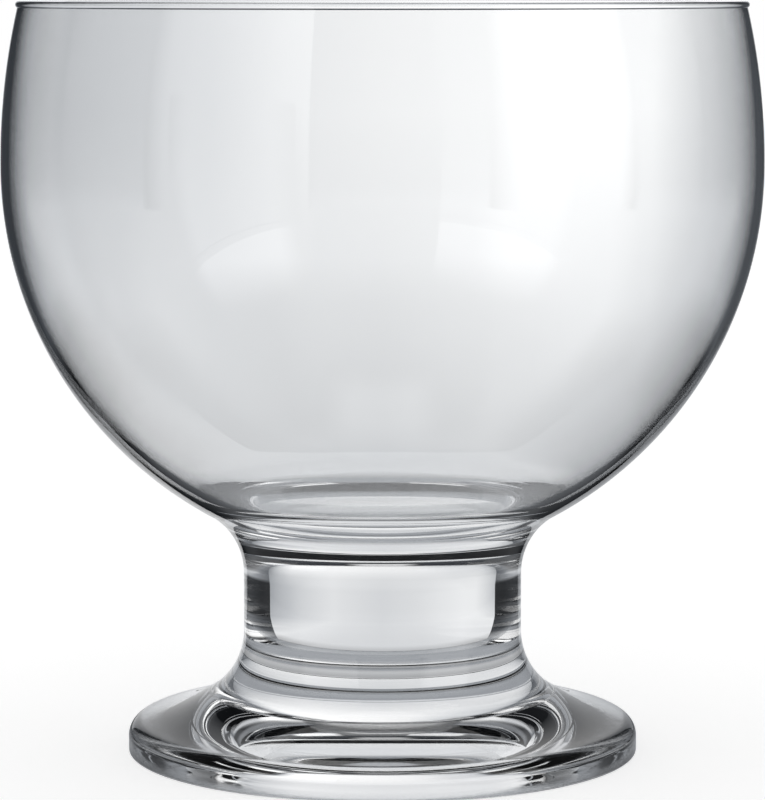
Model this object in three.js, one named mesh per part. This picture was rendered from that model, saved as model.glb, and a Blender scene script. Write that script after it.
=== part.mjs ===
import * as THREE from 'three';

// Ice cream glass: a blown bowl, a solid stem and a pressed foot, fused hot into one clear glass.
// Millimetres, +Z up. The foot stands on z = 0, and every piece is turned about the Z axis.

// Foot
const footDiameter = 71.8;
const footSide = 2.3; // upright side, up to where the top edge starts to round
const footEdgeRound = 2.3; // rounding of the top edge
const footHeelRound = 0.4; // rounding of the bottom edge
const footWeldHeight = 8.5; // flat seat that the stem is fused to
const bearingWidth = 4.5; // flat ring that the glass stands on
const hollowDepth = 1.2; // dished underside inside that ring

// Stem
const stemDiameter = 39.16;
const stemLength = 8; // straight part between the flare and the neck
const flareRadius = 10.5; // concave flare down to the foot
const flareTurn = 55.7; // degrees that the flare turns before it meets the foot
const neckRadius = 10.1; // concave neck up to the bowl
const bowlSeatDrop = 2.5; // flat seat under the bowl, down from where the neck runs into it

// Bowl
const bowlDiameter = 106; // outside, at its widest
const bowlArc = 55.47; // outline radius below the widest point
const rimRise = 21.95; // from the widest point up to the rim's bead
const rimDrawIn = 2.5; // how far the rim leans in from the widest point, on the radius
const wall = 1.05; // at the widest point and above it
const wallGrowth = 1.42; // thickening towards the bottom
const bottomThickness = 3; // over the seat, on the axis
const bottomArc = 150; // gentle hollow of the inside bottom
const bottomCorner = 12; // inside radius between that hollow and the wall
const beadProud = 0.175; // fire-polished bead, beyond the wall on each side

// Facets
const facetsAround = 64;
const bowlFacet = 5; // degrees
const filletFacet = 7;
const edgeFacet = 15;
const beadFacet = 35;
const hollowFacet = 1;

const degree = Math.PI / 180;
const at = (radius, height) => new THREE.Vector2(radius, height);

// Point at an angle on a circle.
function onCircle(centre, radius, angle) {
  return at(centre.x + radius * Math.cos(angle), centre.y + radius * Math.sin(angle));
}

// Adds an arc about a centre from the outline's last point to the end point.
function arcTo(outline, centre, end, facet, longWay = false) {
  const start = outline[outline.length - 1];
  const radius = start.distanceTo(centre);
  const from = start.clone().sub(centre).angle();
  let sweep = end.clone().sub(centre).angle() - from;
  sweep -= 2 * Math.PI * Math.round(sweep / (2 * Math.PI));
  if (longWay) sweep -= Math.sign(sweep) * 2 * Math.PI;
  const steps = Math.ceil(Math.abs(sweep) / (facet * degree));
  for (let step = 1; step < steps; step++) {
    outline.push(onCircle(centre, radius, from + (sweep * step) / steps));
  }
  outline.push(end);
}

// Point at two distances from two centres, on the outer side of the line between them.
function atReaches(first, firstReach, second, secondReach) {
  const gap = second.distanceTo(first);
  const along = (firstReach ** 2 - secondReach ** 2 + gap ** 2) / (2 * gap);
  const aside = Math.sqrt(firstReach ** 2 - along ** 2);
  const unit = second.clone().sub(first).divideScalar(gap);
  return first.clone().addScaledVector(unit, along).addScaledVector(at(unit.y, -unit.x), aside);
}

// Turns an outline about the Z axis. It starts and ends on the axis.
function turned(name, outline, material) {
  const geometry = new THREE.LatheGeometry(outline, facetsAround).rotateX(Math.PI / 2);
  const mesh = new THREE.Mesh(geometry, material);
  mesh.name = name;
  return mesh;
}

function clearGlass(color) {
  return new THREE.MeshStandardMaterial({
    color,
    roughness: 0.03,
    metalness: 0,
    transparent: true,
    opacity: 0.35,
  });
}

// The outline runs up from the foot: flare, straight stem, neck, bowl. Each stretch is tangent to the next.
const stemRadius = stemDiameter / 2;
const footRadius = footDiameter / 2;
const bowlRadius = bowlDiameter / 2;
const flareCentre = at(stemRadius + flareRadius, footWeldHeight + flareRadius * Math.sin(flareTurn * degree));
const footWeld = onCircle(flareCentre, flareRadius, Math.PI + flareTurn * degree);
const neckCentre = at(stemRadius + neckRadius, flareCentre.y + stemLength);
const bowlCentreRadius = bowlRadius - bowlArc;
const neckReach = neckCentre.x - bowlCentreRadius;
const bowlCentre = at(bowlCentreRadius, neckCentre.y + Math.sqrt((bowlArc + neckRadius) ** 2 - neckReach ** 2));
const neckEnd = bowlCentre.clone().lerp(neckCentre, bowlArc / (bowlArc + neckRadius));
const bowlSeatRise = neckEnd.y - bowlSeatDrop - neckCentre.y;
const bowlWeld = onCircle(neckCentre, neckRadius, Math.PI - Math.asin(bowlSeatRise / neckRadius));

// Foot: dished disc whose top carries on the flare and rolls over into an upright side.
function makeFoot() {
  const edgeCentre = at(footRadius - footEdgeRound, footSide);
  const seat = footWeld.clone().sub(edgeCentre);
  const normal = at(Math.cos(flareTurn * degree), Math.sin(flareTurn * degree));
  const topRadius = (seat.lengthSq() - footEdgeRound ** 2) / (2 * (footEdgeRound - seat.dot(normal)));
  const topCentre = footWeld.clone().addScaledVector(normal, topRadius);
  const topEnd = edgeCentre.clone().lerp(topCentre, footEdgeRound / (topRadius + footEdgeRound));
  const heelCentre = at(footRadius - footHeelRound, footHeelRound);
  const hollowRadius = heelCentre.x - bearingWidth;
  const hollowArc = (hollowRadius ** 2 + hollowDepth ** 2) / (2 * hollowDepth);

  const outline = [at(0, hollowDepth)];
  arcTo(outline, at(0, hollowDepth - hollowArc), at(hollowRadius, 0), hollowFacet);
  outline.push(at(heelCentre.x, 0));
  arcTo(outline, heelCentre, at(footRadius, footHeelRound), edgeFacet);
  outline.push(at(footRadius, footSide));
  arcTo(outline, edgeCentre, topEnd, edgeFacet);
  arcTo(outline, topCentre, footWeld, bowlFacet);
  outline.push(at(0, footWeldHeight));
  return turned('foot', outline, clearGlass(0xe9eef0));
}

// Stem: solid spool, waisted between the flare and the neck.
function makeStem() {
  const outline = [at(0, footWeldHeight), footWeld];
  arcTo(outline, flareCentre, at(stemRadius, flareCentre.y), filletFacet);
  outline.push(at(stemRadius, neckCentre.y));
  arcTo(outline, neckCentre, bowlWeld, filletFacet);
  outline.push(at(0, bowlWeld.y));
  return turned('stem', outline, clearGlass(0xeaeff1));
}

// Bowl: thin wall that thickens to a slightly hollow bottom, with a bead round the rim.
function makeBowl() {
  const upperArc = (rimDrawIn ** 2 + rimRise ** 2) / (2 * rimDrawIn);
  const upperCentre = at(bowlRadius - upperArc, bowlCentre.y);
  const rimAngle = Math.asin(rimRise / upperArc);
  const outerRim = onCircle(upperCentre, upperArc, rimAngle);
  const innerRim = onCircle(upperCentre, upperArc - wall, rimAngle);
  const beadRadius = wall / 2 + beadProud;
  const beadRise = Math.sqrt(beadRadius ** 2 - (wall / 2) ** 2);
  const beadCentre = onCircle(outerRim.clone().lerp(innerRim, 0.5), beadRise, rimAngle + Math.PI / 2);

  const innerArc = bowlArc - wall - wallGrowth;
  const innerCentre = at(bowlRadius - wall - innerArc, bowlCentre.y);
  const bottomHeight = bowlWeld.y + bottomThickness;
  const bottomCentre = at(0, bottomHeight + bottomArc);
  const cornerCentre = atReaches(innerCentre, innerArc - bottomCorner, bottomCentre, bottomArc - bottomCorner);
  const wallEnd = innerCentre.clone().lerp(cornerCentre, innerArc / (innerArc - bottomCorner));
  const bottomEnd = bottomCentre.clone().lerp(cornerCentre, bottomArc / (bottomArc - bottomCorner));

  const outline = [at(0, bowlWeld.y), bowlWeld];
  arcTo(outline, neckCentre, neckEnd, filletFacet);
  arcTo(outline, bowlCentre, at(bowlRadius, bowlCentre.y), bowlFacet);
  arcTo(outline, upperCentre, outerRim, bowlFacet);
  arcTo(outline, beadCentre, innerRim, beadFacet, true);
  arcTo(outline, upperCentre, at(bowlRadius - wall, bowlCentre.y), bowlFacet);
  arcTo(outline, innerCentre, wallEnd, bowlFacet);
  arcTo(outline, cornerCentre, bottomEnd, bowlFacet);
  arcTo(outline, bottomCentre, at(0, bottomHeight), hollowFacet);
  return turned('bowl', outline, clearGlass(0xeef2f3));
}

const iceCreamGlass = new THREE.Group();
iceCreamGlass.name = 'ice_cream_glass';
iceCreamGlass.add(makeFoot(), makeStem(), makeBowl());

export default iceCreamGlass;
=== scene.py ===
import math

import bpy
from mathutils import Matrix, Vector


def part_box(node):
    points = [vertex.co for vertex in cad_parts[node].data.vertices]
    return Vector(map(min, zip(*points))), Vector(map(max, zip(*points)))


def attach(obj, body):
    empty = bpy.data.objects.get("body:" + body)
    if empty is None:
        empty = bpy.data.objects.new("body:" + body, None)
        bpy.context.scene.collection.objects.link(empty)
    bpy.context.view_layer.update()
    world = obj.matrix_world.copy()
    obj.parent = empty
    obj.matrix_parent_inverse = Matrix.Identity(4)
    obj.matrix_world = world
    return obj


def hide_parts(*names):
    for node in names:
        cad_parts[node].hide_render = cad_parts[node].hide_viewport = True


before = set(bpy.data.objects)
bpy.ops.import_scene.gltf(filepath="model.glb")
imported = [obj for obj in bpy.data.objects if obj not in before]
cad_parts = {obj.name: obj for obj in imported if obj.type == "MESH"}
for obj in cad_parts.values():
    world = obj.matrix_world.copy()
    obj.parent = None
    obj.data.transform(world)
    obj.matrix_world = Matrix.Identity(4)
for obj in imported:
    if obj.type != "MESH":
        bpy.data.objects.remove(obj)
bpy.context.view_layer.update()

print("frame loaded, nodes:", ", ".join(sorted(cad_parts)))

mm = 0.001


def tidySelection():
    if bpy.context.object and bpy.context.object.mode != "OBJECT":
        bpy.ops.object.mode_set(mode="OBJECT")
    bpy.ops.object.select_all(action="DESELECT")


# outline helpers, (radius, height) in mm
def onArc(centre, radius, angle):
    return Vector((centre.x + radius * math.cos(angle), centre.y + radius * math.sin(angle)))


def arcTo(outline, centre, end, step):
    start = outline[-1]
    radius = (start - centre).length
    fromAngle = math.atan2(start.y - centre.y, start.x - centre.x)
    sweep = math.atan2(end.y - centre.y, end.x - centre.x) - fromAngle
    sweep -= 2 * math.pi * round(sweep / (2 * math.pi))
    count = math.ceil(abs(sweep) / math.radians(step))
    for k in range(1, count):
        outline.append(onArc(centre, radius, fromAngle + sweep * k / count))
    outline.append(end)


def whereReachesMeet(first, firstReach, second, secondReach):
    # two circles cross here, on the right of the line from the first centre to the second
    between = second - first
    along = (firstReach ** 2 - secondReach ** 2 + between.length_squared) / (2 * between.length)
    aside = math.sqrt(firstReach ** 2 - along ** 2)
    unit = between.normalized()
    return first + unit * along + Vector((unit.y, -unit.x)) * aside


# how an outline becomes glass, metres
turning = {
    "start": 0.001,  # plane that is merged to the first vertex
    "around": 240,  # facets in a full turn
    "merge": 0.000002,  # closes the seam and the tips on the axis
    "sharp": 35.0,  # degrees, flatter edges are smoothed
    "flat": 0.999,  # a seat's normal is at least this upright
    "level": 0.00001,  # and its height at most this far off
}


def turnGlass(name, outline):
    # one vertex walked along the outline, then spun about Z
    tidySelection()
    bpy.ops.mesh.primitive_plane_add(size=turning["start"], location=(0, 0, 0))
    piece = bpy.context.object
    piece.name = name
    piece.data.name = name
    bpy.ops.object.mode_set(mode="EDIT")
    bpy.ops.mesh.select_all(action="SELECT")
    bpy.ops.mesh.merge(type="CENTER")
    bpy.ops.transform.translate(value=(outline[0].x * mm, 0, outline[0].y * mm))
    for here, there in zip(outline, outline[1:]):
        move = (there - here) * mm
        bpy.ops.mesh.extrude_vertices_move(TRANSFORM_OT_translate={"value": (move.x, 0, move.y)})
    bpy.ops.mesh.select_all(action="SELECT")
    bpy.ops.mesh.spin(steps=turning["around"], angle=2 * math.pi, center=(0, 0, 0), axis=(0, 0, 1))
    bpy.ops.mesh.select_all(action="SELECT")
    bpy.ops.mesh.remove_doubles(threshold=turning["merge"])
    bpy.ops.mesh.normals_make_consistent(inside=False)
    bpy.ops.object.mode_set(mode="OBJECT")
    bpy.ops.object.shade_smooth_by_angle(angle=math.radians(turning["sharp"]))
    print(name, "turned,", len(piece.data.polygons), "faces")
    return piece


def weldFaces(piece, heights):
    # flat seats where two pieces are fused take the second slot
    for face in piece.data.polygons:
        isFlat = abs(face.normal.z) > turning["flat"]
        if isFlat and any(abs(face.center.z - height * mm) < turning["level"] for height in heights):
            face.material_index = 1


# stem: solid spool between the flare and the neck
stemShape = {
    "across": 39.16,
    "straight": 8.0,
    "flareRound": 10.5,
    "flareTurn": 55.7,  # degrees down to the foot
    "neckRound": 10.1,
    "footWeld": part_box("foot")[1][2] / mm,
    "bowlWeld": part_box("bowl")[0][2] / mm,
    "step": 1.0,  # degrees per facet
}

# flare and neck, whose ends are the seats of the foot and the bowl
stemRadius = stemShape["across"] / 2
flareTurn = math.radians(stemShape["flareTurn"])
flareCentre = Vector((stemRadius + stemShape["flareRound"],
                      stemShape["footWeld"] + stemShape["flareRound"] * math.sin(flareTurn)))
footSeat = onArc(flareCentre, stemShape["flareRound"], math.pi + flareTurn)
neckCentre = Vector((stemRadius + stemShape["neckRound"], flareCentre.y + stemShape["straight"]))
seatRise = stemShape["bowlWeld"] - neckCentre.y
seatInset = math.sqrt(stemShape["neckRound"] ** 2 - seatRise ** 2)
bowlSeat = Vector((neckCentre.x - seatInset, neckCentre.y + seatRise))


def makeStem():
    outline = [Vector((0, footSeat.y)), footSeat]
    arcTo(outline, flareCentre, Vector((stemRadius, flareCentre.y)), stemShape["step"])
    outline.append(Vector((stemRadius, neckCentre.y)))
    arcTo(outline, neckCentre, bowlSeat, stemShape["step"])
    outline.append(Vector((0, bowlSeat.y)))
    return turnGlass("stem_glass", outline)


# bowl: blown wall that thickens to the bottom, with a bead round the rim
bowlShape = {
    "across": 106.0,
    "lowerArc": 55.47,
    "rimRise": 21.95,
    "rimDrawIn": 2.5,
    "wall": 1.05,
    "wallGrowth": 1.42,
    "bottom": 3.0,  # thickness over the stem's seat, on the axis
    "bottomArc": 150.0,
    "cornerRound": 12.0,
    "top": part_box("bowl")[1][2] / mm,
    "beadAt": 50.24,  # middle of the rolled bead, on the radius
    "beadRound": 0.48,
    "step": 1.0,
    "cornerStep": 2.0,
    "bottomStep": 0.5,
    "beadStep": 12.0,
}

# the neck runs up into the bowl's lower arc
bowlRadius = bowlShape["across"] / 2
bowlAxis = bowlRadius - bowlShape["lowerArc"]
neckSpan = bowlShape["lowerArc"] + stemShape["neckRound"]
bowlCentre = Vector((bowlAxis, neckCentre.y + math.sqrt(neckSpan ** 2 - (neckCentre.x - bowlAxis) ** 2)))
bowlMeet = bowlCentre.lerp(neckCentre, bowlShape["lowerArc"] / neckSpan)


def makeBowl():
    wall = bowlShape["wall"]
    upperArc = (bowlShape["rimDrawIn"] ** 2 + bowlShape["rimRise"] ** 2) / (2 * bowlShape["rimDrawIn"])
    upperCentre = Vector((bowlRadius - upperArc, bowlCentre.y))
    rimTop = Vector((bowlShape["beadAt"], bowlShape["top"]))
    beadRound = bowlShape["beadRound"]
    beadCentre = rimTop - Vector((0, beadRound))
    outerRim = whereReachesMeet(upperCentre, upperArc, beadCentre, beadRound)
    # inside, the wall thins up to the bead and runs into it
    drawIn = bowlRadius - wall - beadCentre.x
    rise = beadCentre.y - bowlCentre.y
    liningArc = (drawIn ** 2 + rise ** 2 - beadRound ** 2) / (2 * (drawIn + beadRound))
    liningCentre = Vector((bowlRadius - wall - liningArc, bowlCentre.y))
    innerRim = beadCentre.lerp(liningCentre, beadRound / (liningArc + beadRound))

    innerArc = bowlShape["lowerArc"] - wall - bowlShape["wallGrowth"]
    innerCentre = Vector((bowlRadius - wall - innerArc, bowlCentre.y))
    bottomHeight = bowlSeat.y + bowlShape["bottom"]
    bottomCentre = Vector((0, bottomHeight + bowlShape["bottomArc"]))
    # corner circle touches the wall's arc and the bottom's arc from inside
    toWall = innerArc - bowlShape["cornerRound"]
    toBottom = bowlShape["bottomArc"] - bowlShape["cornerRound"]
    cornerCentre = whereReachesMeet(innerCentre, toWall, bottomCentre, toBottom)
    wallEnd = innerCentre.lerp(cornerCentre, innerArc / toWall)
    bottomEnd = bottomCentre.lerp(cornerCentre, bowlShape["bottomArc"] / toBottom)

    outline = [Vector((0, bowlSeat.y)), bowlSeat]
    arcTo(outline, neckCentre, bowlMeet, bowlShape["step"])
    arcTo(outline, bowlCentre, Vector((bowlRadius, bowlCentre.y)), bowlShape["step"])
    arcTo(outline, upperCentre, outerRim, bowlShape["step"])
    arcTo(outline, beadCentre, rimTop, bowlShape["beadStep"])
    arcTo(outline, beadCentre, innerRim, bowlShape["beadStep"])
    arcTo(outline, liningCentre, Vector((bowlRadius - wall, bowlCentre.y)), bowlShape["step"])
    arcTo(outline, innerCentre, wallEnd, bowlShape["step"])
    arcTo(outline, cornerCentre, bottomEnd, bowlShape["cornerStep"])
    arcTo(outline, bottomCentre, Vector((0, bottomHeight)), bowlShape["bottomStep"])
    return turnGlass("bowl_glass", outline)


# foot: pressed disc, dished underneath
footShape = {
    "across": 71.8,
    "side": 2.3,
    "edgeRound": 2.3,
    "heelRound": 0.4,
    "bearing": 4.5,  # width of the ring it stands on
    "dish": 1.2,
    "step": 1.0,
    "edgeStep": 6.0,
    "dishStep": 0.5,
}


def makeFoot():
    footRadius = footShape["across"] / 2
    edgeRound = footShape["edgeRound"]
    edgeCentre = Vector((footRadius - edgeRound, footShape["side"]))
    # the top carries on the flare and runs into the rounded edge
    seat = footSeat - edgeCentre
    slope = Vector((math.cos(flareTurn), math.sin(flareTurn)))
    topArc = (seat.length_squared - edgeRound ** 2) / (2 * (edgeRound - seat.dot(slope)))
    topCentre = footSeat + slope * topArc
    topEnd = edgeCentre.lerp(topCentre, edgeRound / (topArc + edgeRound))
    heelCentre = Vector((footRadius - footShape["heelRound"], footShape["heelRound"]))
    dishRadius = heelCentre.x - footShape["bearing"]
    dishArc = (dishRadius ** 2 + footShape["dish"] ** 2) / (2 * footShape["dish"])

    outline = [Vector((0, footShape["dish"]))]
    arcTo(outline, Vector((0, footShape["dish"] - dishArc)), Vector((dishRadius, 0)), footShape["dishStep"])
    outline.append(Vector((heelCentre.x, 0)))
    arcTo(outline, heelCentre, Vector((footRadius, footShape["heelRound"])), footShape["edgeStep"])
    outline.append(Vector((footRadius, footShape["side"])))
    arcTo(outline, edgeCentre, topEnd, footShape["edgeStep"])
    arcTo(outline, topCentre, footSeat, footShape["step"])
    outline.append(Vector((0, footSeat.y)))
    return turnGlass("foot_glass", outline)


# node helpers
def addMath(nodes, links, operation, first, second=None):
    # the second is a socket or a plain number
    step = nodes.new("ShaderNodeMath")
    step.operation = operation
    links.new(first, step.inputs[0])
    if isinstance(second, float):
        step.inputs[1].default_value = second
    elif second is not None:
        links.new(second, step.inputs[1])
    return step.outputs["Value"]


def addReach(nodes, links, source, low, high, fade="LINEAR"):
    # 0 to 1 between two places
    reach = nodes.new("ShaderNodeMapRange")
    reach.interpolation_type = fade
    reach.inputs["From Min"].default_value = low
    reach.inputs["From Max"].default_value = high
    links.new(source, reach.inputs["Value"])
    return reach.outputs["Result"]


def addNoise(nodes, links, place, scale, detail):
    noise = nodes.new("ShaderNodeTexNoise")
    noise.inputs["Scale"].default_value = scale
    noise.inputs["Detail"].default_value = detail
    links.new(place, noise.inputs["Vector"])
    return noise.outputs["Fac"]


def addProduct(nodes, links, first, second):
    product = nodes.new("ShaderNodeVectorMath")
    product.operation = "MULTIPLY"
    links.new(first, product.inputs[0])
    links.new(second, product.inputs[1])
    return product.outputs["Vector"]


def addMix(nodes, links, share, first, second):
    # each of the two is a socket or a plain colour
    mix = nodes.new("ShaderNodeMix")
    mix.data_type = "RGBA"
    links.new(share, mix.inputs["Factor"])
    colourInputs = [socket for socket in mix.inputs if socket.type == "RGBA"]
    for socket, colour in zip(colourInputs, (first, second)):
        if isinstance(colour, tuple):
            socket.default_value = colour
        else:
            links.new(colour, socket)
    return next(socket for socket in mix.outputs if socket.type == "RGBA")


# clear glass, with faint blowing waves and a scuffed ring underneath
glassFinish = {
    "tint": (0.985, 0.99, 0.993, 1.0),
    "refraction": 1.515,
    "waveScale": 55.0,
    "waveDetail": 1.0,
    "waveStrength": 0.02,
    "waveDepth": 0.001,
    "scuff": 0.28,
    "scuffScale": 900.0,
    "scuffDetail": 4.0,
    "scuffHeight": 0.00025,
}


def makeClearGlass():
    glass = bpy.data.materials.new("clear_glass_polished")
    glass.use_nodes = True
    nodes = glass.node_tree.nodes
    links = glass.node_tree.links
    shader = nodes["Principled BSDF"]
    shader.inputs["Base Color"].default_value = glassFinish["tint"]
    shader.inputs["IOR"].default_value = glassFinish["refraction"]
    shader.inputs["Transmission Weight"].default_value = 1.0
    place = nodes.new("ShaderNodeTexCoord").outputs["Object"]

    # slow waves left by blowing
    wave = addNoise(nodes, links, place, glassFinish["waveScale"], glassFinish["waveDetail"])
    bump = nodes.new("ShaderNodeBump")
    bump.inputs["Strength"].default_value = glassFinish["waveStrength"]
    bump.inputs["Distance"].default_value = glassFinish["waveDepth"]
    links.new(wave, bump.inputs["Height"])
    links.new(bump.outputs["Normal"], shader.inputs["Normal"])

    # scuffs only where it stands
    split = nodes.new("ShaderNodeSeparateXYZ")
    links.new(place, split.inputs["Vector"])
    low = addReach(nodes, links, split.outputs["Z"], glassFinish["scuffHeight"], 0.0)
    scratch = addNoise(nodes, links, place, glassFinish["scuffScale"], glassFinish["scuffDetail"])
    scuff = addMath(nodes, links, "MULTIPLY", low, scratch)
    rough = addMath(nodes, links, "MULTIPLY", scuff, glassFinish["scuff"])
    links.new(rough, shader.inputs["Roughness"])
    return glass


def makeWeld():
    # light passes a fused seat straight
    weld = bpy.data.materials.new("fused_seat")
    weld.use_nodes = True
    shader = weld.node_tree.nodes["Principled BSDF"]
    shader.inputs["Base Color"].default_value = glassFinish["tint"]
    shader.inputs["IOR"].default_value = 1.0
    shader.inputs["Alpha"].default_value = 0.0
    return weld


clearGlass = makeClearGlass()
fusedSeat = makeWeld()
for make, node, welds in ((makeFoot, "foot", [footSeat.y]),
                          (makeStem, "stem", [footSeat.y, bowlSeat.y]),
                          (makeBowl, "bowl", [bowlSeat.y])):
    piece = make()
    piece.data.materials.clear()
    piece.data.materials.append(clearGlass)
    piece.data.materials.append(fusedSeat)
    weldFaces(piece, welds)
    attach(piece, "root")
    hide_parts(node)
print("glass done")


# studio, metres and degrees; brightness 1 is white
underFloor = -0.0004  # cards for the glass lie just below the floor

# greys lean to blue, white and brighter stay neutral
coolCast = {
    "least": 0.004,
    "grey": 0.15,
    "green": 0.6,  # share of red's loss that green takes
}


def shade(level):
    dip = max(0.0, coolCast["least"] + coolCast["grey"] * level * (1 - level))
    return (level - dip, level - coolCast["green"] * dip, level, 1)


def addRamp(nodes, links, source, stops, cool=True):
    # brightness along one direction, from (place, level) pairs
    low, high = stops[0][0], stops[-1][0]
    ramp = nodes.new("ShaderNodeValToRGB")
    stopList = ramp.color_ramp.elements
    while len(stopList) < len(stops):
        stopList.new(0.5)
    for stop, (place, level) in zip(stopList, stops):
        stop.position = (place - low) / (high - low)
        stop.color = shade(level) if cool else (level, level, level, 1)
    links.new(addReach(nodes, links, source, low, high), ramp.inputs["Fac"])
    return ramp.outputs["Color"]


def addAngle(nodes, links, split):
    # degrees round the glass, 0 behind it and 180 at the camera
    turn = addMath(nodes, links, "ARCTAN2", split.outputs["X"], split.outputs["Y"])
    return addMath(nodes, links, "DEGREES", turn)


def addDistance(nodes, links):
    # out from the middle of a card that lies flat
    outward = nodes.new("ShaderNodeVectorMath")
    outward.operation = "LENGTH"
    links.new(nodes.new("ShaderNodeTexCoord").outputs["Object"], outward.inputs[0])
    return outward.outputs["Value"]


def litCard(card, name, strength=1.0):
    # glows for the glass only, the camera looks through it
    card.name = name
    card.visible_camera = False
    card.visible_diffuse = False
    card.visible_shadow = False
    paint = bpy.data.materials.new(name)
    paint.use_nodes = True
    nodes = paint.node_tree.nodes
    links = paint.node_tree.links
    nodes.clear()
    out = nodes.new("ShaderNodeOutputMaterial")
    glow = nodes.new("ShaderNodeEmission")
    glow.inputs["Strength"].default_value = strength
    links.new(glow.outputs["Emission"], out.inputs["Surface"])
    card.data.materials.append(paint)
    place = nodes.new("ShaderNodeTexCoord")
    split = nodes.new("ShaderNodeSeparateXYZ")
    links.new(place.outputs["Object"], split.inputs["Vector"])
    return nodes, links, split, glow.inputs["Color"]


def sheet(corners):
    mesh = bpy.data.meshes.new("sheet")
    mesh.from_pydata(corners, [], [tuple(range(len(corners)))])
    card = bpy.data.objects.new("sheet", mesh)
    bpy.context.collection.objects.link(card)
    return card


# lit panel just wider than the frame, so the glass keeps dark edges,
# and a white tray on the floor before it
panelSet = {
    "away": 0.11,
    "half": 0.079,
    "top": 0.16,
    "across": ((-0.079, 0.18), (-0.068, 0.52), (-0.058, 0.66), (-0.03, 0.78), (-0.012, 0.97), (0.0, 1.02),
               (0.03, 1.13), (0.048, 1.15), (0.065, 0.70), (0.079, 0.18)),
    "foot": ((-0.079, 0.62), (-0.05, 0.92), (-0.025, 0.86), (0.0, 0.76), (0.02, 0.85), (0.05, 0.60),
             (0.079, 0.42)),
    "blend": ((0.005, 0.0), (0.085, 1.0)),  # from the foot's pattern to the upper one
    "up": ((0.0, 0.98), (0.02, 0.94), (0.037, 0.97), (0.05, 1.0), (0.08, 1.0), (0.16, 1.06)),
    "trayFront": 0.036,
    "trayFrontHalf": 0.0114,
    "trayAlong": ((0.036, 0.45), (0.05, 1.0), (0.11, 1.0)),
}


def makePanel():
    half, away, low, top = panelSet["half"], panelSet["away"], underFloor, panelSet["top"]
    panel = sheet([(-half, away, low), (half, away, low), (half, away, top), (-half, away, top)])
    nodes, links, split, colour = litCard(panel, "back_panel")
    foot = addRamp(nodes, links, split.outputs["X"], panelSet["foot"])
    above = addRamp(nodes, links, split.outputs["X"], panelSet["across"])
    blend = addRamp(nodes, links, split.outputs["Z"], panelSet["blend"], cool=False)
    across = addMix(nodes, links, blend, foot, above)
    up = addRamp(nodes, links, split.outputs["Z"], panelSet["up"], cool=False)
    links.new(addProduct(nodes, links, across, up), colour)

    front, frontHalf = panelSet["trayFront"], panelSet["trayFrontHalf"]
    tray = sheet([(-frontHalf, front, low), (frontHalf, front, low), (half, away, low), (-half, away, low)])
    nodes, links, split, colour = litCard(tray, "floor_tray")
    across = addRamp(nodes, links, split.outputs["X"], panelSet["foot"])
    along = addRamp(nodes, links, split.outputs["Y"], panelSet["trayAlong"], cool=False)
    links.new(addProduct(nodes, links, across, along), colour)


# two dark flags behind the glass, either side of the panel, darken its edges
flagSet = {
    "slope": 1.2,
    "start": 0.095,
    "soft": 0.15,
    "front": 0.03,  # they fade out this far on the camera's side
    "frontSoft": 0.03,
    # by angle and outwards, dark only near the panel
    "around": ((-180.0, 0.42), (-60.0, 0.42), (-50.0, 0.27), (-42.0, 0.14), (-34.0, 0.05), (34.0, 0.095),
               (42.0, 0.17), (50.0, 0.3), (60.0, 0.45), (180.0, 0.45)),
    "out": ((0.0, 0.6), (0.08, 0.6), (0.105, 0.12), (0.17, 0.12), (0.24, 1.0), (0.6, 1.0)),
}


def addFlags(nodes, links, split, lit, flag):
    # their straight edges open away from the camera
    side = addMath(nodes, links, "ABSOLUTE", split.outputs["X"])
    slant = addMath(nodes, links, "MULTIPLY", side, flagSet["slope"])
    past = addMath(nodes, links, "SUBTRACT", slant, split.outputs["Y"])
    start, front = flagSet["start"], flagSet["front"]
    beside = addReach(nodes, links, past, start, start + flagSet["soft"], "SMOOTHSTEP")
    toCamera = addMath(nodes, links, "MULTIPLY", split.outputs["Y"], -1.0)
    before = addReach(nodes, links, toCamera, front, front + flagSet["frontSoft"], "SMOOTHSTEP")
    return addMix(nodes, links, addMath(nodes, links, "MAXIMUM", beside, before), flag, lit)


# pale round room, glowing for the glass, with painted light and painted shadow on its floor
drumSet = {
    "radius": 0.6,
    "top": 0.7,
    "sides": 96,
    "wallAround": ((-180.0, 0.75), (-162.0, 0.75), (-150.0, 0.7), (150.0, 0.7), (162.0, 0.75), (180.0, 0.75)),
    "wallUp": ((0.0, 1.0), (0.05, 0.6), (0.14, 0.3), (0.3, 0.15), (0.7, 0.12)),
    "ceiling": 0.03,
    # floor brightness by angle: painted pools of light below the two softboxes, at their angles and levels
    "floorPaintedLightAround": ((-180.0, 0.65), (-162.0, 0.65), (-159.0, 0.95), (-112.0, 0.95), (-100.0, 0.7),
                    (100.0, 0.7), (112.0, 1.3), (145.0, 1.3), (155.0, 0.65), (180.0, 0.65)),
    "paintedFootShadow": 0.38,  # painted shadow under and round the foot
    "footShadowOut": ((0.0, 0.0), (0.038, 0.0), (0.055, 1.0), (0.6, 1.0)),
    "frontShadowAround": ((0.0, 0.0), (115.0, 0.0), (150.0, 1.0), (180.0, 1.0)),  # painted shadow, a dark strip in front of the foot towards the camera
    "frontShadowOut": ((0.0, 0.0), (0.045, 0.0), (0.055, 1.0), (0.14, 1.0), (0.22, 0.0), (0.6, 0.0)),
    "frontShadowLevel": 0.06,
}


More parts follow.
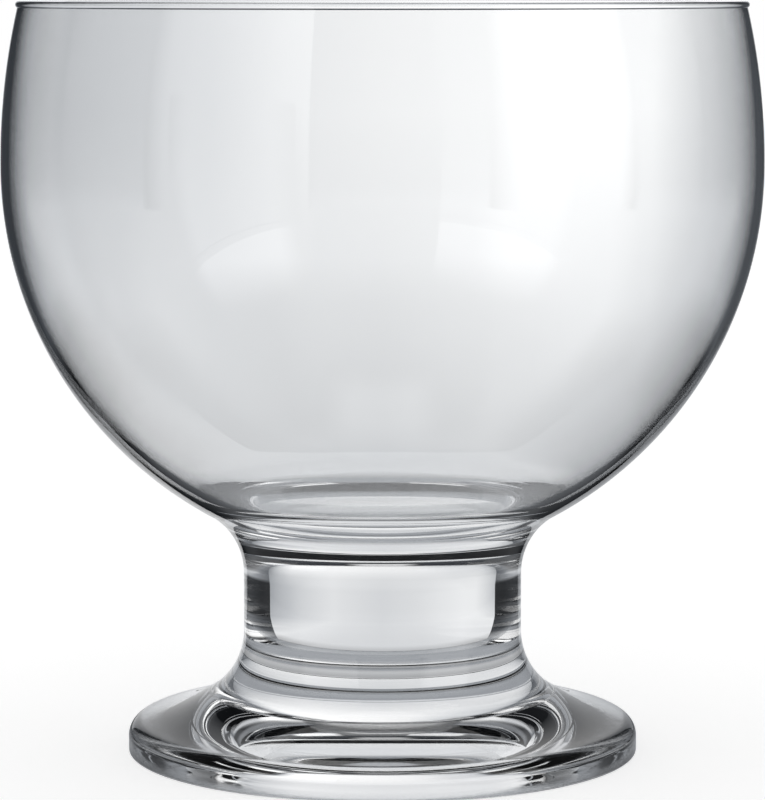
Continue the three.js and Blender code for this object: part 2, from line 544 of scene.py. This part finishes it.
def makeDrum():
    radius, top, sides = drumSet["radius"], drumSet["top"], drumSet["sides"]
    under = 2 * underFloor  # the tray lies over the drum's floor
    middle = (top + under) / 2
    tidySelection()
    bpy.ops.mesh.primitive_cylinder_add(vertices=sides, radius=radius, depth=top - under,
                                        end_fill_type="NOTHING", location=(0, 0, middle))
    nodes, links, split, colour = litCard(bpy.context.object, "drum_wall")
    height = addMath(nodes, links, "ADD", split.outputs["Z"], middle)
    up = addRamp(nodes, links, height, drumSet["wallUp"], cool=False)
    angle = addAngle(nodes, links, split)
    around = addRamp(nodes, links, angle, drumSet["wallAround"])
    flag = addRamp(nodes, links, angle, flagSet["around"])
    links.new(addFlags(nodes, links, split, addProduct(nodes, links, around, up), flag), colour)

    tidySelection()
    bpy.ops.mesh.primitive_circle_add(vertices=sides, radius=radius, fill_type="NGON", location=(0, 0, top))
    nodes, links, split, colour = litCard(bpy.context.object, "drum_ceiling")
    colour.default_value = shade(drumSet["ceiling"])

    tidySelection()
    bpy.ops.mesh.primitive_circle_add(vertices=sides, radius=radius, fill_type="NGON", location=(0, 0, under))
    nodes, links, split, colour = litCard(bpy.context.object, "drum_floor")
    away = addDistance(nodes, links)
    angle = addAngle(nodes, links, split)
    flag = addProduct(nodes, links, addRamp(nodes, links, angle, flagSet["around"]),
                      addRamp(nodes, links, away, flagSet["out"], cool=False))
    # floor brightness by angle, with painted pools of light below the softboxes, darkened by the flags
    lit = addFlags(nodes, links, split, addRamp(nodes, links, angle, drumSet["floorPaintedLightAround"]), flag)
    # painted shadow round the foot: near the axis the floor takes the darker level
    beyond = addRamp(nodes, links, away, drumSet["footShadowOut"], cool=False)
    spread = addMix(nodes, links, beyond, shade(drumSet["paintedFootShadow"]), lit)
    # painted shadow in front of the foot, a dark strip towards the camera
    turned = addMath(nodes, links, "ABSOLUTE", angle)
    slot = addMath(nodes, links, "MULTIPLY", addRamp(nodes, links, turned, drumSet["frontShadowAround"], cool=False),
                   addRamp(nodes, links, away, drumSet["frontShadowOut"], cool=False))
    links.new(addMix(nodes, links, slot, spread, shade(drumSet["frontShadowLevel"])), colour)


# tall softboxes at the camera's sides: first and last angle, light, fade across;
# and a small one above
boxSet = {
    "away": 0.55,
    "top": 0.55,
    "up": ((-0.5, 1.0), (0.15, 1.0), (0.5, 0.0)),
    "boxRight": (103.0, 150.0, 1.3, ((-0.5, 0.0), (-0.35, 1.0), (0.3, 1.0), (0.5, 0.0))),
    "boxLeft": (-160.0, -109.0, 0.95, ((-0.5, 0.0), (-0.49, 1.0), (0.35, 1.0), (0.5, 0.0))),
    "overHalf": 0.14,
    "overHeight": 0.60,
    "overLight": 0.7,
    "overFade": ((-0.5, 0.0), (-0.25, 1.0), (0.25, 1.0), (0.5, 0.0)),
}


def softCard(name, place, turn, wide, high, level, acrossStops, upStops):
    # plane whose own X and Y run from -0.5 to 0.5
    tidySelection()
    bpy.ops.mesh.primitive_plane_add(size=1, location=place, rotation=turn)
    card = bpy.context.object
    card.scale = (wide, high, 1)
    nodes, links, split, colour = litCard(card, name, level)
    across = addRamp(nodes, links, split.outputs["X"], acrossStops, cool=False)
    up = addRamp(nodes, links, split.outputs["Y"], upStops, cool=False)
    links.new(addProduct(nodes, links, across, up), colour)


def makeBoxes():
    low, top = underFloor, boxSet["top"]
    for name in ("boxRight", "boxLeft"):
        first, last, level, acrossStops = boxSet[name]
        middle = math.radians(first + last) / 2
        half = math.radians(last - first) / 2
        away = boxSet["away"] * math.cos(half)
        wide = 2 * boxSet["away"] * math.sin(half)
        place = (away * math.sin(middle), away * math.cos(middle), (low + top) / 2)
        softCard(name, place, (math.pi / 2, 0, -middle), wide, top - low, level, acrossStops, boxSet["up"])
    wide = 2 * boxSet["overHalf"]
    softCard("top_box", (0, 0, boxSet["overHeight"]), (0, 0, 0), wide, wide, boxSet["overLight"],
             boxSet["overFade"], boxSet["overFade"])


# what the camera sees round the glass
roomSet = {
    "floorHalf": 3.0,
    "floorGrey": 0.8,
    "floorGlow": 0.60,  # lifts the floor to white for the camera only
    "skyLight": 0.56,  # on the floor, the sky itself is seen as white
}


def makeFloor():
    tidySelection()
    bpy.ops.mesh.primitive_plane_add(size=2 * roomSet["floorHalf"], location=(0, 0, 0))
    floor = bpy.context.object
    floor.name = "floor"
    paint = bpy.data.materials.new("pale_floor")
    paint.use_nodes = True
    nodes = paint.node_tree.nodes
    links = paint.node_tree.links
    shader = nodes["Principled BSDF"]
    grey = roomSet["floorGrey"]
    shader.inputs["Base Color"].default_value = (grey, grey, grey, 1)
    shader.inputs["Roughness"].default_value = 1.0
    shader.inputs["Specular IOR Level"].default_value = 0.0
    shader.inputs["Emission Color"].default_value = (1, 1, 1, 1)
    rays = nodes.new("ShaderNodeLightPath")
    lift = addMath(nodes, links, "MULTIPLY", rays.outputs["Is Camera Ray"], roomSet["floorGlow"])
    links.new(lift, shader.inputs["Emission Strength"])
    floor.data.materials.append(paint)
    floor.visible_transmission = False
    floor.visible_glossy = False


def makeWorld():
    world = bpy.data.worlds.new("studio")
    bpy.context.scene.world = world
    world.use_nodes = True
    nodes = world.node_tree.nodes
    links = world.node_tree.links
    nodes.clear()
    out = nodes.new("ShaderNodeOutputWorld")
    sky = nodes.new("ShaderNodeBackground")
    sky.inputs["Color"].default_value = (1, 1, 1, 1)
    rays = nodes.new("ShaderNodeLightPath")
    seen = addMath(nodes, links, "MAXIMUM", rays.outputs["Is Camera Ray"], rays.outputs["Is Glossy Ray"])
    seen = addMath(nodes, links, "MAXIMUM", seen, rays.outputs["Is Transmission Ray"])
    level = nodes.new("ShaderNodeMapRange")
    level.inputs["To Min"].default_value = roomSet["skyLight"]
    level.inputs["To Max"].default_value = 1.0
    links.new(seen, level.inputs["Value"])
    links.new(level.outputs["Result"], sky.inputs["Strength"])
    links.new(sky.outputs["Background"], out.inputs["Surface"])


# camera at the photo's height and distance
cameraSet = {
    "place": (0.0, -0.5079, 0.10759),
    "tilt": 83.484,
    "lens": 163.8,
    "sensor": 36.0,
    "nearest": 0.01,
    "bounces": 5,
}


def makeCamera():
    tidySelection()
    bpy.ops.object.camera_add(location=cameraSet["place"], rotation=(math.radians(cameraSet["tilt"]), 0, 0))
    camera = bpy.context.object
    camera.name = "photo_camera"
    camera.data.lens = cameraSet["lens"]
    camera.data.sensor_width = cameraSet["sensor"]
    camera.data.clip_start = cameraSet["nearest"]
    bpy.context.scene.camera = camera


makePanel()
makeDrum()
makeBoxes()
makeFloor()
makeWorld()
makeCamera()
scene = bpy.context.scene
scene.view_settings.view_transform = "Standard"
scene.cycles.max_bounces = cameraSet["bounces"]
scene.cycles.transmission_bounces = cameraSet["bounces"]
scene.cycles.glossy_bounces = cameraSet["bounces"]
print("studio and camera done")
